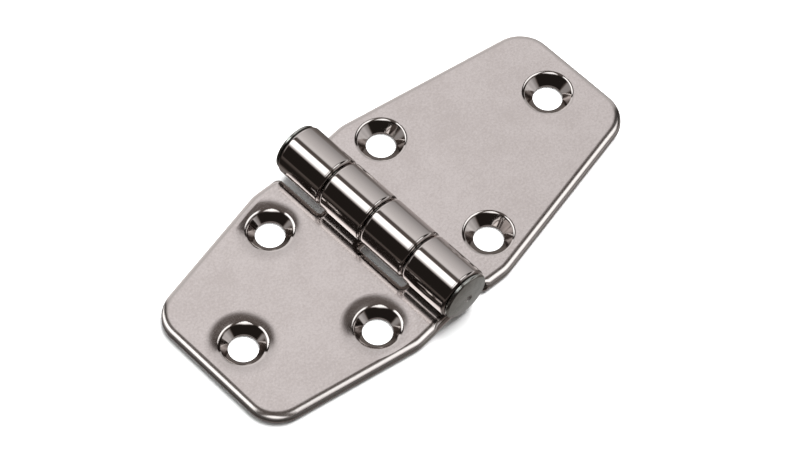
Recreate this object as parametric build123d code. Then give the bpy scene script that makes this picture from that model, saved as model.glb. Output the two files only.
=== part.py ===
"""Butt hinge pressed and rolled from polished stainless steel sheet, lying open flat.

Two tapered leaves of unequal length turn on one pin. Each leaf is a single piece of
sheet. It rises a little towards the pin, and its two tongues are rolled round the pin
into knuckles, so the barrel stands proud of the face with the countersinks. The four
knuckles interlock on the pin, whose two low domed heads keep it in.

The frame has the pin along Y and the leaves' backs in the plane Z = 0. The origin lies
on that plane under the middle of the pin. The long leaf points along +X. Sizes are in
millimetres and angles in degrees.
"""

import os
from math import asin, atan2, cos, degrees, hypot, radians, sin, tan

from build123d import *

# Leaves
sheet_thickness = 2.0
leaf_width = 38.0  # at its widest
short_leaf_reach = 36.0  # from the pin's axis to the leaf's end
long_leaf_reach = 44.8
taper_angle = 11.2  # of each side
taper_start = 9.6  # from the pin's axis to the widest place
shoulder_radius = 6.0  # at the widest place
corner_radius = 5.8  # at the leaf's end
root_edge = 4.2  # from the pin's axis to the edge that faces the other leaf's knuckles
root_corner_radius = 1.2  # of the leaf's outer corner beside the barrel
relief_radius = 0.5  # where a tongue leaves the leaf
face_edge_radius = 1.3  # polished edge of the face with the countersinks
back_edge_radius = 0.55  # edge of the face that is screwed down, and of the knuckles

# Knuckles
knuckle_pairs = 2  # knuckles on each leaf
barrel_inset = 0.35  # from the leaf's widest place in to each end of the barrel
knuckle_rise = 0.7  # barrel's underside above the leaves' backs
rise_start = 4.75  # from the pin's axis to the bend where the leaf starts to rise
rise_bend_radius = 1.5  # of the face inside that bend
knuckle_gap = 0.35  # between neighbours along the pin
curl_gap = 0.1  # between a knuckle's rolled tip and its own leaf

# Pin
pin_diameter = 4.9
pin_clearance = 0.05  # all round, in the rolled bore
head_diameter = 8.4
head_rim = 0.45  # height of the head's straight rim, up to where the dome meets it
head_rise = 0.45  # height of the dome above the rim
head_edge_radius = 0.35  # between the rim and the dome
head_gap = 0.2  # between a head and the end of the barrel
centre_mark_diameter = 1.5  # small round hollow in the middle of each head
centre_mark_depth = 0.35

# Screw holes
hole_diameter = 4.9
hole_land = 0.45  # straight wall left under the countersink
countersink_angle = 90.0
dish_diameter = 12.0  # shallow hollow pressed round each hole of the short leaf
dish_radius = 12.0  # of its rounded profile, which grows steeper towards the hole
dish_edge_angle = 1.5  # at which that profile leaves the face
dished_lip_radius = 1.0  # polished mouth of the countersink in the short leaf
plain_lip_radius = 0.7  # and in the long leaf
inner_hole_reach = 12.15  # from the pin's axis to the two holes beside the barrel
inner_hole_margin = 6.8  # from the leaf's widest place in to those holes
end_hole_margin = 6.9  # from the leaf's end to its third hole

# Worked out from the sizes above
bore_radius = pin_diameter / 2 + pin_clearance
barrel_radius = bore_radius + sheet_thickness
axis_height = barrel_radius + knuckle_rise
half_width = leaf_width / 2
half_barrel = half_width - barrel_inset
knuckle_count = 2 * knuckle_pairs
knuckle_pitch = 2 * half_barrel / knuckle_count
pin_axis = Axis((0, 0, axis_height), (0, 1, 0))

# The middle of the sheet leaves the bend at this angle and just touches the roll's middle
middle_radius = bore_radius + sheet_thickness / 2
middle_drop = axis_height - sheet_thickness / 2
rise_angle = degrees(
    atan2(middle_drop, rise_start) - asin(middle_radius / hypot(rise_start, middle_drop))
)


def knuckle_span(index):
    """Start and end along Y of a knuckle, counted from the pin's -Y end."""
    start = -half_barrel + index * knuckle_pitch
    end = start + knuckle_pitch
    if index > 0:
        start += knuckle_gap / 2
    if index < knuckle_count - 1:
        end -= knuckle_gap / 2
    return start, end


def side_section(reach):
    """The sheet seen from the side, from where the roll begins to past the leaf's end."""
    along = Vector(cos(radians(rise_angle)), 0, -sin(radians(rise_angle)))
    across = Vector(sin(radians(rise_angle)), 0, cos(radians(rise_angle)))
    centre = Vector(0, 0, axis_height)
    half_bend = sheet_thickness / 2 * tan(radians(rise_angle / 2))
    past = reach + sheet_thickness
    points = [
        centre - across * bore_radius,
        Vector(rise_start + half_bend, 0, sheet_thickness),
        Vector(past, 0, sheet_thickness),
        Vector(past, 0, 0),
        Vector(rise_start - half_bend, 0, 0),
        centre - across * barrel_radius,
    ]
    section = make_face(Polyline(*points, close=True))
    inside = section.vertices().sort_by_distance(points[1])[0]
    section = fillet(inside, rise_bend_radius)
    outside = section.vertices().sort_by_distance(points[4])[0]
    return fillet(outside, rise_bend_radius + sheet_thickness)


def plan(reach, first_knuckle):
    """The leaf seen from above before its tongues are rolled."""
    end_half_width = half_width - (reach - taper_start) * tan(radians(taper_angle))
    outline = make_face(
        Polyline(
            (root_edge, -half_barrel),
            (taper_start, -half_width),
            (reach, -end_half_width),
            (reach, end_half_width),
            (taper_start, half_width),
            (root_edge, half_barrel),
            close=True,
        )
    )
    for index in range(first_knuckle, knuckle_count, 2):
        start, end = knuckle_span(index)
        length = root_edge + barrel_radius
        outline += Pos(root_edge - length / 2, (start + end) / 2) * Rectangle(length, end - start)
    outline = fillet(outline.vertices().group_by(Axis.X)[-1], corner_radius)
    shoulders = outline.vertices().filter_by(lambda v: abs(v.X - taper_start) < 1e-6)
    outline = fillet(shoulders, shoulder_radius)
    roots = outline.vertices().filter_by(lambda v: abs(v.X - root_edge) < 1e-6)
    outer = roots.filter_by(lambda v: abs(v.Y) > half_barrel - 1e-6)
    inner = roots.filter_by(lambda v: abs(v.Y) < half_barrel - 1e-6)
    outline = fillet(outer, root_corner_radius)
    inner = [outline.vertices().sort_by_distance(v)[0] for v in inner]
    return fillet(inner, relief_radius)


def rim(body, side):
    """Edges all round one skin of the sheet, where side is +1 for the face and -1 for the back."""
    skin = [edge for face in body.faces() if face.normal_at().Z * side > 0.5 for edge in face.edges()]
    walls = [edge for face in body.faces() if abs(face.normal_at().Z) < 1e-4 for edge in face.edges()]
    return [edge for edge in skin if any(edge.is_same(other) for other in walls)]


def countersink():
    """The space of one screw hole, about Z."""
    slope = tan(radians(countersink_angle / 2))
    over = sheet_thickness
    profile = Plane.XZ * make_face(
        Polyline(
            (0, -over),
            (hole_diameter / 2, -over),
            (hole_diameter / 2, hole_land),
            (hole_diameter / 2 + (sheet_thickness + over - hole_land) * slope, sheet_thickness + over),
            (0, sheet_thickness + over),
            close=True,
        )
    )
    return revolve(profile, Axis.Z)


def dish():
    """The space of the shallow hollow round a hole, about Z."""
    middle = dish_diameter / 2 + dish_radius * sin(radians(dish_edge_angle))
    crest = sheet_thickness + dish_radius * (1 - cos(radians(dish_edge_angle)))
    over = sheet_thickness

    def height(radius):
        return crest - dish_radius + (dish_radius**2 - (middle - radius) ** 2) ** 0.5

    inner = hole_diameter / 2
    between = (inner + middle) / 2
    outline = [
        ThreePointArc((middle, crest), (between, height(between)), (inner, height(inner))),
        Polyline(
            (inner, height(inner)),
            (0, height(inner)),
            (0, sheet_thickness + over),
            (middle, sheet_thickness + over),
            (middle, crest),
        ),
    ]
    return revolve(Plane.XZ * make_face(outline), Axis.Z)


def screw_places(reach):
    """Centres of a leaf's three screw holes on the +X side."""
    half_spacing = half_width - inner_hole_margin
    return [
        (inner_hole_reach, -half_spacing),
        (inner_hole_reach, half_spacing),
        (reach - end_hole_margin, 0),
    ]


def circles(body, low, high):
    """Whole circular edges of a leaf between two heights above its back."""
    return body.edges().filter_by(lambda edge: edge.is_closed and low < edge.center().Z < high)


def leaf(reach, first_knuckle, dished):
    """A whole leaf on the +X side, with every second knuckle from first_knuckle on."""
    strip = extrude(side_section(reach), half_width + 1, both=True)
    body = strip & extrude(plan(reach, first_knuckle), axis_height)
    body = fillet(rim(body, 1), face_edge_radius)
    body = fillet(rim(body, -1), back_edge_radius)
    for x, y in screw_places(reach):
        body -= Pos(x, y, 0) * countersink()
        if dished:
            body -= Pos(x, y, 0) * dish()
    near = 1e-3
    if dished:
        body = fillet(circles(body, hole_land + near, sheet_thickness - near), dished_lip_radius)
    else:
        body = fillet(circles(body, sheet_thickness - near, sheet_thickness + near), plain_lip_radius)
    tongue_ends = body.faces().filter_by(lambda face: face.normal_at().X < -0.9 and face.center().X < 1)
    tip_drop = degrees(asin((bore_radius - curl_gap) / barrel_radius))
    for end in tongue_ends:
        body += revolve(end, pin_axis, 270 + tip_drop)
    return body


def hinge_pin():
    """The pin with a low domed head at each end."""
    shank_radius = pin_diameter / 2
    head_radius = head_diameter / 2
    mark_radius = centre_mark_diameter / 2
    seat = half_barrel + head_gap
    rim_end = seat + head_rim
    mark_rim = (mark_radius, dome_height(mark_radius))
    mark_bottom = (0, mark_rim[1] - centre_mark_depth)
    mark_sphere = (mark_radius**2 + centre_mark_depth**2) / (2 * centre_mark_depth)
    between = mark_radius / 2
    mark_side = mark_bottom[1] + mark_sphere - (mark_sphere**2 - between**2) ** 0.5
    outline = [
        Line((0, 0), (shank_radius, 0)),
        Line((shank_radius, 0), (shank_radius, seat)),
        Line((shank_radius, seat), (head_radius, seat)),
        Line((head_radius, seat), (head_radius, rim_end)),
        ThreePointArc(
            (head_radius, rim_end), (head_radius / 2, dome_height(head_radius / 2)), mark_rim
        ),
        ThreePointArc(mark_rim, (between, mark_side), mark_bottom),
        Line(mark_bottom, (0, 0)),
    ]
    profile = make_face(outline)
    rim_corner = profile.vertices().sort_by_distance((head_radius, rim_end, 0))[0]
    half = revolve(fillet(rim_corner, head_edge_radius), Axis.Y)
    pin = half + mirror(half, about=Plane.XZ)
    return Pos(0, 0, axis_height) * pin


def dome_height(x):
    """Height of the dome along Y, at a distance x from the pin's axis."""
    head_radius = head_diameter / 2
    sphere = (head_radius**2 + head_rise**2) / (2 * head_rise)
    crown = half_barrel + head_gap + head_rim + head_rise
    return crown - sphere + (sphere**2 - x**2) ** 0.5


def write(node, shape):
    """Writes one piece of the hinge to its own file."""
    export_step(shape, f"parts/{node}.step")


os.makedirs("parts", exist_ok=True)
write("long_leaf", leaf(long_leaf_reach, 1, dished=False))
write("short_leaf", mirror(leaf(short_leaf_reach, 0, dished=True), about=Plane.YZ))
write("hinge_pin", hinge_pin())
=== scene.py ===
"""Polished steel butt hinge lying open on a white table, finished and lit like its photograph.

Lengths are in metres. The hinge's frame has the pin along Y, the leaves' backs on the
table at Z = 0 and the long leaf towards +X.
"""

import math

import bpy
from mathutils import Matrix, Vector

# The hinge, from its own drawing
PIN_HEIGHT = 0.0052
BARREL_RADIUS = 0.0045
HALF_WIDTH = 0.019
SHORT_REACH = 0.036
LONG_REACH = 0.0448
TAPER_START = 0.0096
TAPER_ANGLE = 11.2
CORNER_RADIUS = 0.0058
FACE_EDGE_RADIUS = 0.0013
CENTRE_MARK_RADIUS = 0.00075

# Soft edges of the finishes: nothing of the finish at the first place, all of it at the second
ROLL_EDGE = (BARREL_RADIUS * 1.12, BARREL_RADIUS * 1.02)  # out from the pin's axis
RIM_EDGE = (FACE_EDGE_RADIUS * 1.35, FACE_EDGE_RADIUS * 1.15)  # in from the leaf's outline
RIM_ROOT = (0.0050, 0.0062)  # along X from the pin, beside the knuckles
MARK_EDGE = (CENTRE_MARK_RADIUS * 1.05, CENTRE_MARK_RADIUS * 0.85)

# The same by how far the surface faces up, from -1 to 1
FLAT_FACE = (0.965, 0.998)
CUT_WALL = (0.75, 0.30)
UPPER_SIDE = (-0.02, 0.02)

# Steel of the leaves
FACE_BRIGHT = (0.790, 0.727, 0.711, 1.0)
FACE_DULL = (0.672, 0.610, 0.592, 1.0)
FACE_TONES = (0.34, 0.66)
POLISHED = (0.650, 0.600, 0.578, 1.0)
MOTTLE_SCALE = 210.0
GRAIN_SCALE = 2600.0
SCUFF_SCALE = 620.0
SATIN_ROUGHNESS = 0.115
MIRROR_ROUGHNESS = 0.055
RIM_ROUGHNESS = 0.09  # on top of the mirror's
CUT_WALL_ROUGHNESS = 0.30  # on top of the rim's
RIM_LEAN = 0.6  # how much flatter the rims are shaded than their round edge is

# Steel of the pin
PIN_DARK = (0.47, 0.475, 0.445, 1.0)
PIN_PALE = (0.56, 0.56, 0.53, 1.0)
PIN_TONES = (0.35, 0.65)
# painted highlight: the centre mark's colour, made pale to stand in for its bright spot
PAINTED_MARK_HIGHLIGHT = (0.95, 0.95, 0.93, 1.0)
PIN_SCUFF_SCALE = 700.0
RING_DENSITY = 9000.0  # radians of the turning rings' wave in each metre
PIN_ROUGHNESS = 0.15
CENTRE_MARK_ROUGHNESS = 0.35  # on top of the pin's

# Fine relief of both steels
RELIEF_STRENGTH = 0.08
RELIEF_DEPTH = 0.00002

# The camera
CAMERA_TOWARDS = (-0.36278, -0.37566, 0.85280)  # from the hinge's origin
CAMERA_DISTANCE = 0.4765
CAMERA_REACH = (0.01, 20.0)  # nearest and furthest that it sees
LENS = 135.97
SENSOR = 36.0
SHIFT = (0.0257, 0.0066)

# The table and its lamp
TABLE_DROP = 0.00004  # keeps the table just clear of the leaves' backs
TABLE_HALF = 3.0
PAPER = (0.93, 0.93, 0.93, 1.0)
LAMP_SIZE = 1.3
LAMP_POWER = 60.0
LAMP_DISTANCE = 1.6
LAMP_AZIMUTH = 15.0  # on the long leaf's side, so the barrel shades the gaps behind it
LAMP_ELEVATION = 56.0

# Soft edges of the panes: none of the light at the first place, all of it at the second.
# These are places on a ceiling one unit high, across the pin (X / Z) or along it (Y / Z).
LEAST_HEIGHT = 0.02  # the least Z that is divided by, near the horizon
RIGHT_PANES = (0.10, 0.24)
LEFT_PANES = (-0.08, -0.16)
LEFT_PANES_END = (-0.85, -0.42)
FAR_PANES = (0.28, 0.37)
NEAR_PANES = (0.04, -0.02)
NEAR_PANES_END = (-0.70, -0.34)
NEAR_RIGHT_PANE_END = (1.2, 0.7)

# Soft edges of the rest of the room, by X, Y or Z of a direction of unit length
FAR_LEFT_PANE_FOOT = (0.30, 0.45)
WALL_END = (0.45, 0.80)
WALL_END_TOP = (0.75, 0.35)
DOORWAY_TOP = (0.40, 0.10)
DOORWAY_INNER_SIDE = (0.5, 0.8)
DOORWAY_FAR_SIDE = (0.15, -0.15)
BACKLIGHT_FAR_SIDE = (-0.55, -0.80)
BACKLIGHT_INNER_SIDE = (0.1, 0.3)
BACKLIGHT_FOOT = (0.15, 0.35)
OVERHEAD = (0.75, 0.95)
FILL_FOOT = (0.06, 0.20)
NEAR_FILL_FAR_SIDE = (-0.42, -0.62)
NEAR_FILL_INNER_SIDE = (0.30, 0.55)
FAR_FILL_NEAR_SIDE = (0.50, 0.66)
FAR_FILL_INNER_SIDE = (-0.20, -0.45)
ABOVE_FLOOR = (-0.01, 0.02)
HORIZON_FOOT = (-0.30, -0.05)
HORIZON_TOP = (0.06, -0.02)
FLOOR_BELOW = (-0.55, -0.80)
FLOOR_RIGHT = (0.0, 0.5)

# Strengths of the light in the room
WALL_LIGHT = 0.35
WALL_RISE = 0.505  # more light towards the wall's top
WALL_RISE_CURVE = 1.3
WALL_END_LIGHT = 0.45
FAR_LEFT_LIGHT = 1.9
NEAR_LIGHT = 1.6
DOORWAY_LIGHT = 0.7
BACKLIGHT = 0.35
OVERHEAD_LIGHT = 0.10
NEAR_FILL_LIGHT = 0.30
FAR_FILL_LIGHT = 0.34
HORIZON_LIGHT = 0.08
FLOOR_LIGHT = 0.20
FLOOR_RIGHT_LIGHT = 0.14
DARKEST = 0.018

# Colours of the light in the room, and the strengths between which one goes over into another
DIM_COLOUR = (1.0, 0.80, 0.69, 1.0)
PANE_COLOUR = (1.0, 0.985, 0.985, 1.0)
BRIGHT_COLOUR = (1.0, 1.03, 1.035, 1.0)
DIM_TO_PANE = (-0.10, 0.45)
PANE_TO_BRIGHT = (0.85, 1.40)


class Value:
    """One socket of a node tree, on which Python's arithmetic adds Math nodes."""

    def __init__(self, tree, socket):
        self.tree = tree
        self.socket = socket

    def math(self, operation, *others):
        inputs = dict(enumerate([self, *others]))
        return self.tree.add("ShaderNodeMath", {"operation": operation}, inputs)

    def __add__(self, other):
        return self.math("ADD", other)

    def __sub__(self, other):
        return self.math("SUBTRACT", other)

    def __mul__(self, other):
        return self.math("MULTIPLY", other)

    def __truediv__(self, other):
        return self.math("DIVIDE", other)

    def __pow__(self, other):
        return self.math("POWER", other)

    def __rsub__(self, other):
        return (self * -1.0) + other

    __radd__ = __add__
    __rmul__ = __mul__

    def ramp(self, low, high):
        """0 below low and 1 above high, with a smooth rise between. High may be the lower one."""
        settings = {"interpolation_type": "SMOOTHSTEP"}
        values = {"Value": self, "From Min": low, "From Max": high}
        return self.tree.add("ShaderNodeMapRange", settings, values)


class Tree:
    """Builds one material's or the studio's node tree."""

    def __init__(self, node_tree):
        self.nodes = node_tree.nodes
        self.links = node_tree.links
        self.nodes.clear()

    def add(self, kind, settings=None, values=None, output=0):
        """Adds a node, sets it, feeds its sockets and returns one of its outputs, if it has any."""
        node = self.nodes.new(kind)
        for name, setting in (settings or {}).items():
            setattr(node, name, setting)
        for name, value in (values or {}).items():
            if isinstance(value, Value):
                self.links.new(value.socket, node.inputs[name])
            else:
                node.inputs[name].default_value = value
        return Value(self, node.outputs[output]) if len(node.outputs) else None

    def parts(self, vector):
        """The X, Y and Z of a vector."""
        node = self.nodes.new("ShaderNodeSeparateXYZ")
        self.links.new(vector.socket, node.inputs[0])
        return [Value(self, socket) for socket in node.outputs]

    def blend(self, factor, first, second):
        """From the first colour to the second."""
        colours = {"Factor": factor, 6: first, 7: second}
        return self.add("ShaderNodeMix", {"data_type": "RGBA"}, colours, 2)

    def normal(self, x, y, z):
        """A direction for shading, given in the piece's own frame."""
        aim = self.add("ShaderNodeCombineXYZ", None, {"X": x, "Y": y, "Z": z})
        aim = self.add("ShaderNodeVectorMath", {"operation": "NORMALIZE"}, {0: aim})
        frames = {"vector_type": "NORMAL", "convert_from": "OBJECT", "convert_to": "WORLD"}
        return self.add("ShaderNodeVectorTransform", frames, {"Vector": aim})

    def noise(self, place, scale, detail=3.0, roughness=0.55):
        """A pattern of soft blotches between 0 and 1."""
        values = {"Vector": place, "Scale": scale, "Detail": detail, "Roughness": roughness}
        return self.add("ShaderNodeTexNoise", None, values, "Fac")

    def metal(self, colour, roughness, height, normal=None):
        """Bare metal with the given colour, roughness and relief, as the tree's surface."""
        relief = {"Strength": RELIEF_STRENGTH, "Distance": RELIEF_DEPTH, "Height": height}
        if normal is not None:
            relief["Normal"] = normal
        bump = self.add("ShaderNodeBump", None, relief)
        looks = {"Base Color": colour, "Roughness": roughness, "Metallic": 1.0, "Normal": bump}
        shader = self.add("ShaderNodeBsdfPrincipled", None, looks)
        self.add("ShaderNodeOutputMaterial", None, {"Surface": shader})


def towards(azimuth, elevation):
    """Unit vector, with azimuth counted from +X to +Y, in degrees."""
    a, e = math.radians(azimuth), math.radians(elevation)
    return Vector((math.cos(a) * math.cos(e), math.sin(a) * math.cos(e), math.sin(e)))


def material(name):
    """A new material and its empty tree."""
    made = bpy.data.materials.new(name)
    made.use_nodes = True
    return made, Tree(made.node_tree)


def distance_from_pin(x, z):
    """How far a place on any piece is from the pin's axis."""
    rise = z - PIN_HEIGHT
    return (x * x + rise * rise) ** 0.5


def rim_mask(x, y):
    """1 on the rounded rims of the leaves' ends and sides, and 0 on the rest."""
    out = x.math("ABSOLUTE")
    slope = math.tan(math.radians(TAPER_ANGLE))
    to_end = x.math("GREATER_THAN", 0.0) * (LONG_REACH - SHORT_REACH) + SHORT_REACH - out
    to_side = HALF_WIDTH - (out - TAPER_START).math("MAXIMUM", 0.0) * slope - y.math("ABSOLUTE")
    end_part = (CORNER_RADIUS - to_end).math("MAXIMUM", 0.0)
    side_part = (CORNER_RADIUS - to_side).math("MAXIMUM", 0.0)
    depth = CORNER_RADIUS - (end_part * end_part + side_part * side_part) ** 0.5
    return depth.ramp(*RIM_EDGE) * out.ramp(*RIM_ROOT)


def polished_sheet_steel():
    """Leaves: satin sheen on the flat faces, mirror polish on the rolls, rims and countersinks.

    The real rims fall away gently from the face and turn sharply down at the wall. The
    solids' are plainly round, so only their shading leans towards the face to show it. The
    cut wall is left rougher.
    """
    made, tree = material("polished_sheet_steel")
    place = tree.add("ShaderNodeTexCoord", output="Object")
    x, y, z = tree.parts(place)
    outward = tree.parts(tree.add("ShaderNodeTexCoord", output="Normal"))
    on_roll = distance_from_pin(x, z).ramp(*ROLL_EDGE)
    on_rim = rim_mask(x, y) * outward[2].ramp(*UPPER_SIDE)
    cut_wall = outward[2].ramp(*CUT_WALL)
    flat = outward[2].math("ABSOLUTE").ramp(*FLAT_FACE) * (1.0 - on_roll)

    mottle = tree.noise(place, MOTTLE_SCALE)
    grain = tree.noise(place, GRAIN_SCALE, detail=2.0, roughness=0.6)
    scuff = tree.noise(place, SCUFF_SCALE, detail=5.0, roughness=0.7)
    satin = mottle * 0.05 + scuff * 0.04 + SATIN_ROUGHNESS
    rim = RIM_ROUGHNESS + cut_wall * CUT_WALL_ROUGHNESS
    polish = scuff * 0.03 + MIRROR_ROUGHNESS + on_rim * rim
    roughness = flat * satin + (1.0 - flat) * polish
    tone = mottle * 0.45 + grain * 0.55
    face = tree.blend(tone.ramp(*FACE_TONES), FACE_DULL, FACE_BRIGHT)
    colour = tree.blend(flat, POLISHED, face)

    lean = 1.0 - on_rim * RIM_LEAN
    normal = tree.normal(outward[0] * lean, outward[1] * lean, outward[2])
    tree.metal(colour, roughness, (grain * 0.7 + scuff * 0.3) * flat, normal)
    return made


def polished_pin_steel():
    """Pin: a slightly greener steel, turned and polished, faint rings and a painted highlight on
    its centre mark.
    """
    made, tree = material("polished_pin_steel")
    place = tree.add("ShaderNodeTexCoord", output="Object")
    x, _, z = tree.parts(place)
    from_pin = distance_from_pin(x, z)
    in_mark = from_pin.ramp(*MARK_EDGE)

    rings = (from_pin * RING_DENSITY).math("SINE") * 0.5 + 0.5
    scuff = tree.noise(place, PIN_SCUFF_SCALE, detail=5.0, roughness=0.7)
    turned = tree.blend(scuff.ramp(*PIN_TONES), PIN_DARK, PIN_PALE)
    # the centre mark gets a pale colour, a painted highlight
    colour = tree.blend(in_mark, turned, PAINTED_MARK_HIGHLIGHT)
    roughness = scuff * 0.10 + rings * 0.03 + PIN_ROUGHNESS + in_mark * CENTRE_MARK_ROUGHNESS
    tree.metal(colour, roughness, scuff * 0.7 + rings * 0.3)
    return made


def white_table():
    """A large plain sheet under the hinge, which the steel doesn't mirror.

    The photograph's white is a cut-out: its steel mirrors a dark floor instead.
    """
    mesh = bpy.data.meshes.new("table")
    corners = [(-1, -1), (1, -1), (1, 1), (-1, 1)]
    places = [(x * TABLE_HALF, y * TABLE_HALF, -TABLE_DROP) for x, y in corners]
    mesh.from_pydata(places, [], [(0, 1, 2, 3)])
    table = bpy.data.objects.new("table", mesh)
    bpy.context.scene.collection.objects.link(table)
    made, tree = material("white_paper")
    paper = tree.add("ShaderNodeBsdfDiffuse", None, {"Color": PAPER})
    tree.add("ShaderNodeOutputMaterial", None, {"Surface": paper})
    mesh.materials.append(made)
    table.visible_glossy = False


def studio_room():
    """A dark room under four light panes, which two dark strips part.

    Overhead, one strip runs along the pin and the other across it. The far right pane goes
    over into a pale wall. Two weak fills stand low at the sides, for the views from there.
    Below the horizon lies the studio's dark floor. The light is brownish where it is dim.
    """
    world = bpy.data.worlds.new("studio_room")
    bpy.context.scene.world = world
    world.use_nodes = True
    tree = Tree(world.node_tree)
    across, along, up = tree.parts(tree.add("ShaderNodeTexCoord", output="Generated"))
    height = up.math("MAXIMUM", LEAST_HEIGHT)
    slant, stretch = across / height, along / height

    right = slant.ramp(*RIGHT_PANES)
    left = slant.ramp(*LEFT_PANES) * slant.ramp(*LEFT_PANES_END)
    far = stretch.ramp(*FAR_PANES)
    near = stretch.ramp(*NEAR_PANES) * stretch.ramp(*NEAR_PANES_END)
    wall = WALL_LIGHT + height ** WALL_RISE_CURVE * WALL_RISE
    wall = wall + up.ramp(*WALL_END_TOP) * along.ramp(*WALL_END) * WALL_END_LIGHT
    far_right = wall * right * far
    far_left = far * left * up.ramp(*FAR_LEFT_PANE_FOOT) * FAR_LEFT_LIGHT
    both_near = near * (left + right * slant.ramp(*NEAR_RIGHT_PANE_END)) * NEAR_LIGHT

    doorway = up.ramp(*DOORWAY_TOP) * across.ramp(*DOORWAY_INNER_SIDE)
    doorway = doorway * along.ramp(*DOORWAY_FAR_SIDE) * DOORWAY_LIGHT
    backlight = along.ramp(*BACKLIGHT_FAR_SIDE) * across.ramp(*BACKLIGHT_INNER_SIDE)
    backlight = backlight * up.ramp(*BACKLIGHT_FOOT) * BACKLIGHT
    overhead = up.ramp(*OVERHEAD) * OVERHEAD_LIGHT
    low = up.ramp(*FILL_FOOT)
    near_fill = along.ramp(*NEAR_FILL_FAR_SIDE) * across.ramp(*NEAR_FILL_INNER_SIDE)
    far_fill = along.ramp(*FAR_FILL_NEAR_SIDE) * across.ramp(*FAR_FILL_INNER_SIDE)
    fills = near_fill * low * NEAR_FILL_LIGHT + far_fill * low * FAR_FILL_LIGHT
    room = far_right + far_left + both_near + doorway + backlight + overhead + fills

    horizon = up.ramp(*HORIZON_FOOT) * up.ramp(*HORIZON_TOP) * HORIZON_LIGHT
    below = up.ramp(*FLOOR_BELOW) * FLOOR_LIGHT
    floor = below + horizon + across.ramp(*FLOOR_RIGHT) * FLOOR_RIGHT_LIGHT
    above = up.ramp(*ABOVE_FLOOR)
    light = room * above + floor * (1.0 - above) + DARKEST

    tint = tree.blend(light.ramp(*DIM_TO_PANE), DIM_COLOUR, PANE_COLOUR)
    tint = tree.blend(light.ramp(*PANE_TO_BRIGHT), tint, BRIGHT_COLOUR)
    background = tree.add("ShaderNodeBackground", None, {"Color": tint, "Strength": light})
    tree.add("ShaderNodeOutputWorld", None, {"Surface": background})


def place_facing_origin(thing, way, distance):
    """Puts a lamp or camera out along a way, looking back at the hinge's origin."""
    thing.location = way * distance
    thing.rotation_euler = way.to_track_quat("Z", "Y").to_euler()
    bpy.context.scene.collection.objects.link(thing)


def table_lamp():
    """A large soft lamp for the table alone, so the steel doesn't show it."""
    data = bpy.data.lights.new("table_light", "AREA")
    data.shape = "RECTANGLE"
    data.size = data.size_y = LAMP_SIZE
    data.energy = LAMP_POWER
    lamp = bpy.data.objects.new("table_light", data)
    lamp.visible_glossy = False
    place_facing_origin(lamp, towards(LAMP_AZIMUTH, LAMP_ELEVATION), LAMP_DISTANCE)


def studio_camera():
    """The photograph's own view."""
    data = bpy.data.cameras.new("camera")
    data.sensor_width = SENSOR
    data.lens = LENS
    data.shift_x, data.shift_y = SHIFT
    data.clip_start, data.clip_end = CAMERA_REACH
    camera = bpy.data.objects.new("camera", data)
    place_facing_origin(camera, Vector(CAMERA_TOWARDS).normalized(), CAMERA_DISTANCE)
    bpy.context.scene.camera = camera


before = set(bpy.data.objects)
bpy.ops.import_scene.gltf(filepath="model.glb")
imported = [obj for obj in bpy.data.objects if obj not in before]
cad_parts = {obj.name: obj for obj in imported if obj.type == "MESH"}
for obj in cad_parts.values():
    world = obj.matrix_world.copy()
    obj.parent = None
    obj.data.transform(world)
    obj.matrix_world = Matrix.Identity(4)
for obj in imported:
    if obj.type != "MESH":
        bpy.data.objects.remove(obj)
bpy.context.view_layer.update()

studio_camera()
studio_room()
white_table()
table_lamp()
bpy.context.scene.view_settings.view_transform = "Standard"

sheet_steel = polished_sheet_steel()
pin_steel = polished_pin_steel()
for node, finish in (
    ("short_leaf", sheet_steel),
    ("long_leaf", sheet_steel),
    ("hinge_pin", pin_steel),
):
    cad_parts[node].material_slots[0].material = finish
